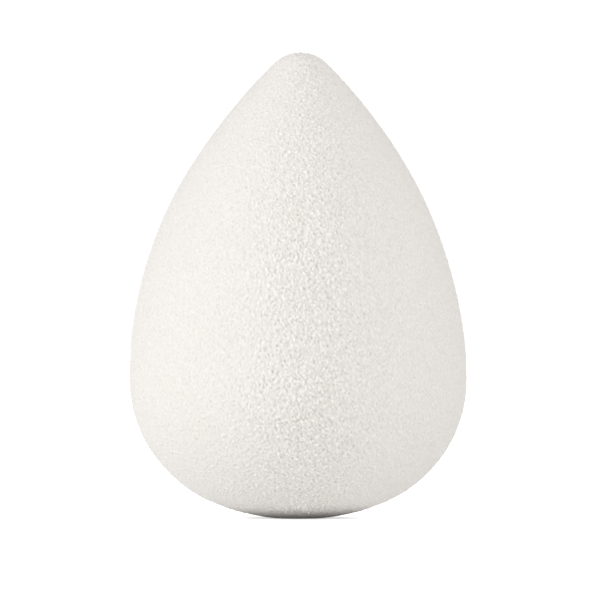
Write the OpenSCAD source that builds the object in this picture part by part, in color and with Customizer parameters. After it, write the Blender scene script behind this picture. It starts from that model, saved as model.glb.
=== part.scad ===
// Makeup sponge: a teardrop of fine-celled foam, moulded in one piece.
// It stands on a small flat foot at z = 0. Its axis is +Z, and the origin is the foot's centre.
// Its outline is five arcs, each tangent to the next: base and heel below the widest place,
// then belly, nose and tip above it. The angles say how far the side leans towards the axis
// where one arc hands over to the next, and the arcs' radii follow from them and the sizes.

/* [Size] */
// Height from the foot to the top of the tip
sponge_height = 60; // [48:0.5:75]
// Width at the widest place
sponge_width = 43.5; // [34:0.5:52]
// Height of the widest place above the foot
widest_height = 18; // [14:0.5:23]

/* [Point] */
// Radius of the rounded tip
tip_radius = 4.8; // [2.5:0.1:8]
// Angle between side and axis, in degrees, where the nose ends and the tip begins
tip_angle = 45.5; // [38:0.5:60]
// Angle between side and axis, in degrees, where the belly turns into the straighter nose
nose_angle = 28; // [20:0.5:36]

/* [Underside] */
// Diameter of the flat foot
foot_diameter = 6; // [3:0.5:14]
// Angle between underside and axis, in degrees, where the base meets the foot
foot_angle = 84; // [80:0.5:88]
// Angle between underside and axis, in degrees, where the base turns into the tighter heel
heel_angle = 67; // [52:0.5:76]

/* [Hidden] */
$fn = 96;
// Most that one straight step of an arc may turn, in degrees
step_angle = 3;

// Where the outline's stretches start and end, as [distance from the axis, height]
foot_centre = [0, 0];
foot_edge = [foot_diameter / 2, 0];
widest_point = [sponge_width / 2, widest_height];
tip_centre = [0, sponge_height - tip_radius];
tip_start = tip_centre + facing(tip_angle, tip_radius);

// Radii of the four arcs between them
lower_radii = arc_pair(widest_point, foot_edge, heel_angle, foot_angle);
heel_radius = lower_radii[0];
base_radius = lower_radii[1];
upper_radii = arc_pair(widest_point, tip_start, nose_angle, tip_angle);
belly_radius = upper_radii[0];
nose_radius = upper_radii[1];

// Centres of those arcs, each straight in from a known point of its arc
base_centre = foot_edge - facing(-foot_angle, base_radius);
heel_centre = widest_point - facing(0, heel_radius);
belly_centre = widest_point - facing(0, belly_radius);
nose_centre = tip_start - facing(tip_angle, nose_radius);

// Step of this length, at this angle above level. From an arc's centre, with the arc's radius,
// it leads to the place where the side leans by this angle, or by minus it on the underside.
function facing(angle, length) = length * [cos(angle), sin(angle)];

// Radii of two tangent arcs. The first leaves the widest point parallel to the axis and ends
// where it leans by the middle angle. The second goes on to the end point and the last angle.
function arc_pair(widest, end, middle, last) =
    let (
        step = [widest.x - end.x, abs(end.y - widest.y)],
        first_chord = [1 - cos(middle), sin(middle)],
        second_chord = [cos(middle) - cos(last), sin(last) - sin(middle)]
    )
    [cross(step, second_chord), cross(first_chord, step)] / cross(first_chord, second_chord);

// Points along an arc from one facing to another, without the first, which ends the arc before
function arc(centre, radius, start, end) =
    let (steps = ceil((end - start) / step_angle))
    [for (i = [1:steps]) centre + facing(start + (end - start) * i / steps, radius)];

// Half of the outline, from the foot's centre round to the top of the tip
half_outline = concat(
    [foot_centre, foot_edge],
    arc(base_centre, base_radius, -foot_angle, -heel_angle),
    arc(heel_centre, heel_radius, -heel_angle, 0),
    arc(belly_centre, belly_radius, 0, nose_angle),
    arc(nose_centre, nose_radius, nose_angle, tip_angle),
    arc(tip_centre, tip_radius, tip_angle, 90)
);

module foam_body() {
    color([0.93, 0.91, 0.88])
        rotate_extrude()
            polygon(half_outline);
}

foam_body();
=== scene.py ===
# A teardrop makeup sponge of fine-celled foam, built over its CAD model.
# Metres, Z up, the foot's centre at the origin, the camera at -Y.
import math

import bmesh
import bpy
import numpy as np
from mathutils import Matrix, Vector, kdtree, noise


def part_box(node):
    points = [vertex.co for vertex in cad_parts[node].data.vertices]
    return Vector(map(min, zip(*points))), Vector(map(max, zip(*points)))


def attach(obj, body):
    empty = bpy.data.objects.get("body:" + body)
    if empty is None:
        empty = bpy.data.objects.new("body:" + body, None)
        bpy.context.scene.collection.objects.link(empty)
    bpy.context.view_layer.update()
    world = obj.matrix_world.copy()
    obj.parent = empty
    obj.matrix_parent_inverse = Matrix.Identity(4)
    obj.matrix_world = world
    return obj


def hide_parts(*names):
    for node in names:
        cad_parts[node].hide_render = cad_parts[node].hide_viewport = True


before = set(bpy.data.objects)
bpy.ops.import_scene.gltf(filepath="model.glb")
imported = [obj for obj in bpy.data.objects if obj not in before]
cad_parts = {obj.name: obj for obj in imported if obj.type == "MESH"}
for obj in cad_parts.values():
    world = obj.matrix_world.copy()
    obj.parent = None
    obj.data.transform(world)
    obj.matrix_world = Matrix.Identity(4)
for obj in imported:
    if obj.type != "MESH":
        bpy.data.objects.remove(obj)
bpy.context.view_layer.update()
print("stage: CAD model loaded")


class Wire:
    # One socket's value in a material. Sums written with it add the Math nodes.
    def __init__(self, nodes, socket):
        self.nodes = nodes
        self.socket = socket

    def maths(self, operation, first, second):
        return self.nodes.add("ShaderNodeMath", {"operation": operation}, {0: first, 1: second})

    def __add__(self, other):
        return self.maths("ADD", self, other)

    def __radd__(self, other):
        return self.maths("ADD", other, self)

    def __sub__(self, other):
        return self.maths("SUBTRACT", self, other)

    def __rsub__(self, other):
        return self.maths("SUBTRACT", other, self)

    def __mul__(self, other):
        return self.maths("MULTIPLY", self, other)

    def __rmul__(self, other):
        return self.maths("MULTIPLY", other, self)


class Nodes:
    # The node tree of a material or of the world
    def __init__(self, owner):
        owner.use_nodes = True
        self.tree = owner.node_tree
        self.tree.nodes.clear()

    def add(self, kind, settings=None, sockets=None, output=0):
        node = self.tree.nodes.new(kind)
        for name, value in (settings or {}).items():
            if name == "stops":
                self.setStops(node.color_ramp, value)
            else:
                setattr(node, name, value)
        for name, value in (sockets or {}).items():
            if isinstance(value, Wire):
                self.tree.links.new(value.socket, node.inputs[name])
            else:
                node.inputs[name].default_value = value
        if not node.outputs:
            return node
        return Wire(self, node.outputs[output])

    def setStops(self, ramp, stops):
        while len(ramp.elements) < len(stops):
            ramp.elements.new(1)
        for element, (place, colour) in zip(ramp.elements, stops):
            element.position = place
            element.color = colour


def rgba(red, green, blue):
    return (red, green, blue, 1)


# The sponge. Its outline is five arcs, each tangent to the next. Its skin is made of rounded knobs
# of foam with open cells sunk between them.
foamSponge = {
    "widestHeight": 0.018,    # height of the widest place
    "tipRadius": 0.0048,
    "tipAngle": 45.5,         # lean of the side, in degrees, where the nose ends and the tip begins
    "noseAngle": 28,          # lean where the belly turns into the straighter nose
    "footDiameter": 0.006,
    "footAngle": 84,          # lean of the underside where the base meets the foot
    "heelAngle": 67,          # lean where the base turns into the tighter heel
    "tipLean": 0.0003,        # how far the tip stands off the axis, to +X
    "dents": 0.00004,         # depth of the broad unevenness all over
    "dentSize": 0.012,
    "presses": [              # turn from the front to +X in degrees, height, spread, depth
        (90, 0.032, 0.011, 0.00024),
        (-90, 0.041, 0.007, -0.00010),
        (-90, 0.006, 0.006, 0.00013),
    ],
    "patchSteps": 380,        # faces along each side of the six patches
    "quickSteps": 96,

    "knobs": {
        "spacing": 0.00040,
        "reach": 0.00024,     # how far from its middle a knob falls to nothing
        "height": 0.000138,   # on the average
        "seed": 3,
    },
    "cells": {
        "spacing": 0.00042,
        "reach": 0.00024,
        "depth": 0.000093,
        "seed": 8,
    },
    "sizeRange": (0.5, 1.5),  # least and most height of a single one, as a share of the average
    "stray": 0.25,            # how far both lie off an even pattern, as a share of the spacing
    "rise": 1.25,             # how much longer both are along Z, the way the foam rose
    "footFade": 0.0012,       # height over which all relief fades towards the pressed foot
    "tipShare": 0.60,         # share of the skin's relief at the tip
    "flankRelief": 0.50,      # share of it on the flanks at +X and -X
    "flankPaintedShade": 0.30,        # share of its painted shade and highlight there
    # The painted shade and highlight are strongest in this band across the front and back, standing in for
    # the key light that grazes the front.
    "openMiddle": 0.06,       # how far to +X both are strongest, as a share of the radius
    "openWidth": 0.36,        # and how far from there they fall off
    "openTip": 0.4,           # how much of its width that open band keeps at the tip

    "paintedShadeHollow": rgba(0.650, 0.630, 0.600),  # colours of the skin's low, middle and high places: painted shade in the hollows, painted highlight on the knob tops
    "skin": rgba(0.810, 0.791, 0.765),
    "top": rgba(0.950, 0.931, 0.904),
    "paintedReliefShade": 0.52,             # how strongly the painted shade and highlight follow the relief
    "stain": rgba(0.985, 0.965, 0.945),  # tints broad blotches
    "blotchSize": 0.009,
    "fineSize": 0.00022,      # finest grain, too small for the mesh
    "fineHeight": 0.00002,
    "fineTone": 0.15,
    "poreSpacing": 0.00023,   # pinholes, up to about 0.15 mm across
    "poreStart": 0.08,        # their edge, as a share of the spacing
    "poreEnd": 0.42,
    "poreUneven": 0.9,        # how far the fine grain widens some and closes others
    "poreDepth": 0.00002,
    "porePaintedShade": 0.15,         # painted shade in them: how much darker they are, as a share of the range from the darkest to the lightest shade
    "poreMean": 0.85,         # share of the skin that they leave, so that its average colour stays
    "roughness": 0.92,
    "roughnessRange": 0.1,    # how far the fine grain lowers it
    "specular": 0.2,
    "ior": 1.4,
}


def facing(angle, length):
    turn = math.radians(angle)
    return np.array([math.cos(turn), math.sin(turn)]) * length


def cross(first, second):
    return first[0] * second[1] - first[1] * second[0]


def arcPair(widest, end, middle, last):
    # Radii of two tangent arcs from the widest place, where the side is upright, to the end
    middle, last = math.radians(middle), math.radians(last)
    step = (widest[0] - end[0], abs(end[1] - widest[1]))
    firstChord = (1 - math.cos(middle), math.sin(middle))
    secondChord = (math.cos(middle) - math.cos(last), math.sin(last) - math.sin(middle))
    whole = cross(firstChord, secondChord)
    return cross(step, secondChord) / whole, cross(firstChord, step) / whole


def arcPoints(centre, radius, start, end, stepAngle=0.25):
    steps = math.ceil((end - start) / stepAngle)
    return [centre + facing(start + (end - start) * i / steps, radius) for i in range(1, steps + 1)]


def spongeOutline(plan, height, width):
    # Half of the outline as [distance from the axis, height], from the foot's centre to the tip
    footAngle, heelAngle = plan["footAngle"], plan["heelAngle"]
    noseAngle, tipAngle, tipRadius = plan["noseAngle"], plan["tipAngle"], plan["tipRadius"]
    footEdge = np.array([plan["footDiameter"] / 2, 0])
    widest = np.array([width / 2, plan["widestHeight"]])
    tipCentre = np.array([0, height - tipRadius])
    tipStart = tipCentre + facing(tipAngle, tipRadius)
    heel, base = arcPair(widest, footEdge, heelAngle, footAngle)
    belly, nose = arcPair(widest, tipStart, noseAngle, tipAngle)
    points = [np.zeros(2), footEdge]
    points += arcPoints(footEdge - facing(-footAngle, base), base, -footAngle, -heelAngle)
    points += arcPoints(widest - facing(0, heel), heel, -heelAngle, 0)
    points += arcPoints(widest - facing(0, belly), belly, 0, noseAngle)
    points += arcPoints(tipStart - facing(tipAngle, nose), nose, noseAngle, tipAngle)
    points += arcPoints(tipCentre, tipRadius, tipAngle, 90)
    return np.array(points)


def ringAreas(outline):
    # Area of the turned outline from the foot's centre up to each of its points, over pi
    radius, height = outline[:, 0], outline[:, 1]
    slant = np.hypot(np.diff(radius), np.diff(height))
    return np.concatenate([[0], np.cumsum(slant * (radius[1:] + radius[:-1]))])


def ballToTeardrop(ball, outline):
    # Spreads the points of a ball evenly over the outline turned about Z
    areas = ringAreas(outline)
    share = (1 + ball[:, 2]) / 2 * areas[-1]
    level = np.hypot(ball[:, 0], ball[:, 1])
    outward = ball[:, :2] / np.maximum(level, 1e-9)[:, None]
    placed = outward * np.interp(share, areas, outline[:, 0])[:, None]
    return np.column_stack([placed, np.interp(share, areas, outline[:, 1])])


def patchedCube(steps):
    # A cube of six patches, each with its own place in the texture map, cut into a fine grid
    mesh = bmesh.new()
    bmesh.ops.create_cube(mesh, size=2)
    texture = mesh.loops.layers.uv.new("OFBake")
    columns, rows, margin = 3, 2, 0.004
    corners = ((0, 0), (1, 0), (1, 1), (0, 1))
    for index, face in enumerate(mesh.faces):
        column, row = index % columns, index // columns
        for loop, (across, up) in zip(face.loops, corners):
            loop[texture].uv = (
                (column + across) / columns + margin * (1 - 2 * across),
                (row + up) / rows + margin * (1 - 2 * up),
            )
    bmesh.ops.subdivide_edges(mesh, edges=mesh.edges[:], cuts=steps - 1, use_grid_fill=True)
    return mesh


def scatter(outline, kind, plan):
    # Points spread evenly over the skin on a spiral, each a little astray, and a height for each
    spacing, seed = kind["spacing"], kind["seed"]
    count = int(ringAreas(outline)[-1] * math.pi / spacing ** 2)
    chance = np.random.default_rng(seed)
    height = (2 * np.arange(count) + 1) / count - 1
    turn = np.arange(count) * math.pi * (3 - math.sqrt(5)) + seed
    level = np.sqrt(1 - height ** 2)
    ball = np.column_stack([np.cos(turn) * level, np.sin(turn) * level, height])
    points = ballToTeardrop(ball, outline) + chance.normal(0, plan["stray"] * spacing, (count, 3))
    return points, chance.uniform(*plan["sizeRange"], count).tolist()


def bumps(points, outline, kind, plan):
    # Height of rounded bumps, 1 high on the average, at each of the points and from their mean
    reach = kind["reach"]
    squeeze = np.array([1, 1, 1 / plan["rise"]])
    middles, tops = scatter(outline, kind, plan)
    tree = kdtree.KDTree(len(middles))
    for index, middle in enumerate((middles * squeeze).tolist()):
        tree.insert(middle, index)
    tree.balance()
    heights = np.zeros(len(points))
    for index, point in enumerate((points * squeeze).tolist()):
        for middle, which, distance in tree.find_range(point, reach):
            share = 1 - (distance / reach) ** 2
            heights[index] += share * share * tops[which]
    return heights - heights.mean()


def foamSkin(points, outline, plan, footFade):
    # How far each point of the skin stands out, and how much painted shade or painted highlight its colour
    # gets, where 0 is the middle shade
    knobs, cells = plan["knobs"], plan["cells"]
    skin = bumps(points, outline, knobs, plan) * knobs["height"]
    skin -= bumps(points, outline, cells, plan) * cells["depth"]
    skin *= 1 - (1 - plan["tipShare"]) * (points[:, 2] / points[:, 2].max()) ** 2
    skin *= footFade
    level = np.hypot(points[:, 0], points[:, 1])
    reach = (1 - plan["openTip"]) * level + plan["openTip"] * outline[:, 0].max()
    aside = (points[:, 0] / reach - plan["openMiddle"]) / plan["openWidth"]
    flank = 1 - np.exp(-aside ** 2)
    # Painted shade in the hollows and painted highlight on the knob tops, weaker on the flanks
    paintedReliefShade = skin / knobs["height"] * plan["paintedReliefShade"] * (1 - flank * (1 - plan["flankPaintedShade"]))
    return skin * (1 - flank * (1 - plan["flankRelief"])), paintedReliefShade


def pressed(points, outline, plan):
    # Broad shallow marks of moulding and handling, measured outwards
    total = np.zeros(len(points))
    for turn, height, spread, depth in plan["presses"]:
        reach = np.interp(height, outline[:, 1], outline[:, 0])
        across, ahead = math.sin(math.radians(turn)), math.cos(math.radians(turn))
        spot = np.array([reach * across, -reach * ahead, height])
        distance = np.linalg.norm(points - spot, axis=1) / spread
        total -= depth * np.exp(-distance ** 2)
    uneven = [noise.noise(Vector(point) / plan["dentSize"]) for point in points.tolist()]
    return total + plan["dents"] * np.array(uneven)


def readPoints(mesh, name):
    values = np.empty(len(mesh.vertices) * 3, np.float32)
    mesh.vertices.foreach_get(name, values)
    return values.reshape(-1, 3).astype(float)


def setPoints(mesh, points):
    mesh.vertices.foreach_set("co", points.astype(np.float32).ravel())
    mesh.update()


def makeSponge(plan):
    low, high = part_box("foam_body")
    outline = spongeOutline(plan, high.z, high.x - low.x)
    shape = patchedCube(plan["patchSteps"])
    mesh = bpy.data.meshes.new("foamSponge")
    shape.to_mesh(mesh)
    shape.free()
    ball = np.tan(readPoints(mesh, "co") * math.pi / 4)  # evens out the faces of the rounded cube
    ball /= np.linalg.norm(ball, axis=1)[:, None]
    points = ballToTeardrop(ball, outline)
    footFade = np.clip(points[:, 2] / plan["footFade"], 0, 1)
    skin, paintedReliefShade = foamSkin(points, outline, plan, footFade)
    out = pressed(points, outline, plan) * footFade + skin
    points[:, 0] += plan["tipLean"] * (points[:, 2] / high.z) ** 3
    setPoints(mesh, points)
    points += readPoints(mesh, "normal") * out[:, None]
    points[:, 2] = np.maximum(points[:, 2], 0)
    setPoints(mesh, points)
    # This attribute carries the painted shade of the hollows and the painted highlight of the knob tops.
    height = mesh.attributes.new("foamHeight", "FLOAT", "POINT")
    height.data.foreach_set("value", (0.5 + paintedReliefShade).clip(0, 1).astype(np.float32))
    mesh.shade_smooth()
    piece = bpy.data.objects.new("foam_sponge", mesh)
    bpy.context.scene.collection.objects.link(piece)
    return piece


def foamMaterial(plan):
    material = bpy.data.materials.new("foam")
    nodes = Nodes(material)
    place = nodes.add("ShaderNodeTexCoord", output="Object")
    height = nodes.add("ShaderNodeAttribute", {"attribute_name": "foamHeight"}, output="Fac")
    blotch = nodes.add(
        "ShaderNodeTexNoise", {"noise_dimensions": "3D"},
        {"Vector": place, "Scale": 1 / plan["blotchSize"], "Detail": 3, "Roughness": 0.5}, "Fac",
    )
    fine = nodes.add(
        "ShaderNodeTexNoise", {"noise_dimensions": "3D"},
        {"Vector": place, "Scale": 1 / plan["fineSize"], "Detail": 2, "Roughness": 0.55}, "Fac",
    )
    distance = nodes.add(
        "ShaderNodeTexVoronoi", {"voronoi_dimensions": "3D", "feature": "F1"},
        {"Vector": place, "Scale": 1 / plan["poreSpacing"]}, "Distance",
    )
    skin = nodes.add(  # 0 in the middle of a pinhole, 1 between them; it carries their bump and their painted shade
        "ShaderNodeMapRange", {"interpolation_type": "SMOOTHSTEP"},
        {
            "Value": distance + (fine - 0.5) * plan["poreUneven"],
            "From Min": plan["poreStart"],
            "From Max": plan["poreEnd"],
        },
    )
    # Painted shade in hollows and pinholes, painted highlight on knob tops, and random fine grain
    level = height + (fine - 0.5) * plan["fineTone"] + (skin - plan["poreMean"]) * plan["porePaintedShade"]
    stops = [(0, plan["paintedShadeHollow"]), (0.5, plan["skin"]), (1, plan["top"])]
    shade = nodes.add("ShaderNodeValToRGB", {"stops": stops}, {"Fac": level}, "Color")
    colour = nodes.add(
        "ShaderNodeMix", {"data_type": "RGBA", "blend_type": "MULTIPLY"},
        {"Factor": blotch, "A": shade, "B": plan["stain"]}, "Result",
    )
    depth = fine * plan["fineHeight"] + skin * plan["poreDepth"]
    bump = nodes.add("ShaderNodeBump", {}, {"Strength": 1.0, "Distance": 1.0, "Height": depth}, "Normal")
    surface = nodes.add(
        "ShaderNodeBsdfPrincipled", {},
        {
            "Base Color": colour,
            "Roughness": plan["roughness"] - fine * plan["roughnessRange"],
            "Normal": bump,
            "Specular IOR Level": plan["specular"],
            "IOR": plan["ior"],
        },
    )
    nodes.add("ShaderNodeOutputMaterial", {}, {"Surface": surface})
    return material


sponge = makeSponge(foamSponge)
sponge.data.materials.append(foamMaterial(foamSponge))
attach(sponge, "root")
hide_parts("foam_body")
print("stage: foam sponge made,", len(sponge.data.polygons), "faces")

# The sponge stands on a sheet of opal glass in a white tent
whiteStage = {
    "floorSize": 3.0,
    "floorColour": rgba(0.90, 0.90, 0.90),
    "floorOpal": 0.75,        # share of the light that comes through the glass
    "maskStart": 0.0075,      # a round mask under the glass keeps the dark line of contact, whole to here
    "maskEnd": 0.012,         # and gone by here
    "floorGlow": 0.60,        # added for the camera and reflections only, so that the open floor is white
    "tentLight": 0.875,       # its light on the sponge, before the slope
    "tentSeen": 1.05,         # its brightness for the camera and reflections, where 1 is just white
    "tentSlope": (0.21, -0.46, -0.19),  # how much brighter the tent is towards +X, +Y and +Z
}


def seenShare(nodes):
    # 1 where the camera, a reflection or clear glass looks at the surface, 0 for the light it sheds
    looks = ["Is Camera Ray", "Is Glossy Ray", "Is Transmission Ray", "Is Diffuse Ray"]
    camera, glossy, clear, diffuse = [nodes.add("ShaderNodeLightPath", output=name) for name in looks]
    return nodes.add("ShaderNodeClamp", {}, {"Value": camera + glossy + clear - diffuse}, "Result")


def makeFloor(plan):
    shape = bmesh.new()
    bmesh.ops.create_grid(shape, x_segments=2, y_segments=2, size=plan["floorSize"])
    mesh = bpy.data.meshes.new("floor")
    shape.to_mesh(mesh)
    shape.free()
    floor = bpy.data.objects.new("floor", mesh)
    bpy.context.scene.collection.objects.link(floor)
    material = bpy.data.materials.new("floorWhite")
    nodes = Nodes(material)
    place = nodes.add("ShaderNodeTexCoord", output="Object")
    radius = nodes.add("ShaderNodeVectorMath", {"operation": "LENGTH"}, {0: place}, "Value")
    share = nodes.add(
        "ShaderNodeMapRange", {"interpolation_type": "SMOOTHSTEP"},
        {
            "Value": radius,
            "From Min": plan["maskStart"],
            "From Max": plan["maskEnd"],
            "To Max": plan["floorOpal"],
        },
    )
    opal = nodes.add(
        "ShaderNodeMixShader", {},
        {
            0: share,
            1: nodes.add("ShaderNodeBsdfDiffuse", {}, {"Color": plan["floorColour"]}),
            2: nodes.add("ShaderNodeBsdfTranslucent", {}, {"Color": plan["floorColour"]}),
        },
    )
    glow = nodes.add("ShaderNodeEmission", {}, {"Strength": seenShare(nodes) * plan["floorGlow"]})
    surface = nodes.add("ShaderNodeAddShader", {}, {0: opal, 1: glow})
    nodes.add("ShaderNodeOutputMaterial", {}, {"Surface": surface})
    mesh.materials.append(material)
    return floor


def setWorld(plan):
    world = bpy.data.worlds.new("whiteTent")
    bpy.context.scene.world = world
    nodes = Nodes(world)
    seen = seenShare(nodes)
    direction = nodes.add("ShaderNodeTexCoord", output="Generated")
    slope = nodes.add(
        "ShaderNodeVectorMath", {"operation": "DOT_PRODUCT"}, {0: direction, 1: plan["tentSlope"]}, "Value",
    )
    strength = seen * plan["tentSeen"] + (1 - seen) * (slope + plan["tentLight"])
    sky = nodes.add("ShaderNodeBackground", {}, {"Color": rgba(1, 1, 1), "Strength": strength})
    nodes.add("ShaderNodeOutputWorld", {}, {"Surface": sky})


# Each lamp's turn from the front to +X and its rise in degrees, and its distance and size in metres
lampPlan = {
    "key": {"turn": -75, "rise": 12, "distance": 0.9, "wide": 0.30, "tall": 0.45, "level": 0.335},
}


def addLamp(name, plan, aim):
    # The level is the light on a white surface that faces the lamp, where 1 shows as white
    turn, rise = math.radians(plan["turn"]), math.radians(plan["rise"])
    flat = math.cos(rise)
    towards = Vector((math.sin(turn) * flat, -math.cos(turn) * flat, math.sin(rise)))
    lamp = bpy.data.lights.new(name, "AREA")
    lamp.shape = "RECTANGLE"
    lamp.size, lamp.size_y = plan["wide"], plan["tall"]
    lamp.energy = plan["level"] * math.pi ** 2 * plan["distance"] ** 2
    holder = bpy.data.objects.new(name, lamp)
    holder.location = aim + towards * plan["distance"]
    holder.rotation_euler = towards.to_track_quat("Z", "Y").to_euler()
    bpy.context.scene.collection.objects.link(holder)


cameraPlan = {
    "distance": 1.00,
    "lookDown": 0,            # in degrees
    "across": 0.00023,        # where the middle of the picture lies
    "height": 0.02813,
    "pictureWidth": 0.0774,   # width of the picture at the sponge's axis
    "sensorWidth": 36,        # in millimetres, as lenses are measured
}


def addCamera(plan):
    lens = bpy.data.cameras.new("camera")
    lens.sensor_width = plan["sensorWidth"]
    lens.lens = plan["sensorWidth"] * plan["distance"] / plan["pictureWidth"]
    lens.clip_start, lens.clip_end = 0.01, 20
    camera = bpy.data.objects.new("camera", lens)
    lookDown = math.radians(plan["lookDown"])
    away = Vector((0, -math.cos(lookDown), math.sin(lookDown))) * plan["distance"]
    camera.location = Vector((plan["across"], 0, plan["height"])) + away
    camera.rotation_euler = (math.radians(90) - lookDown, 0, 0)
    bpy.context.scene.collection.objects.link(camera)
    bpy.context.scene.camera = camera


floor = makeFloor(whiteStage)
setWorld(whiteStage)
middle = Vector((0, 0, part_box("foam_body")[1].z / 2))
for name, plan in lampPlan.items():
    addLamp(name, plan, middle)
addCamera(cameraPlan)
bpy.context.scene.view_settings.view_transform = "Standard"
print("stage: floor, world, lamps and camera set")
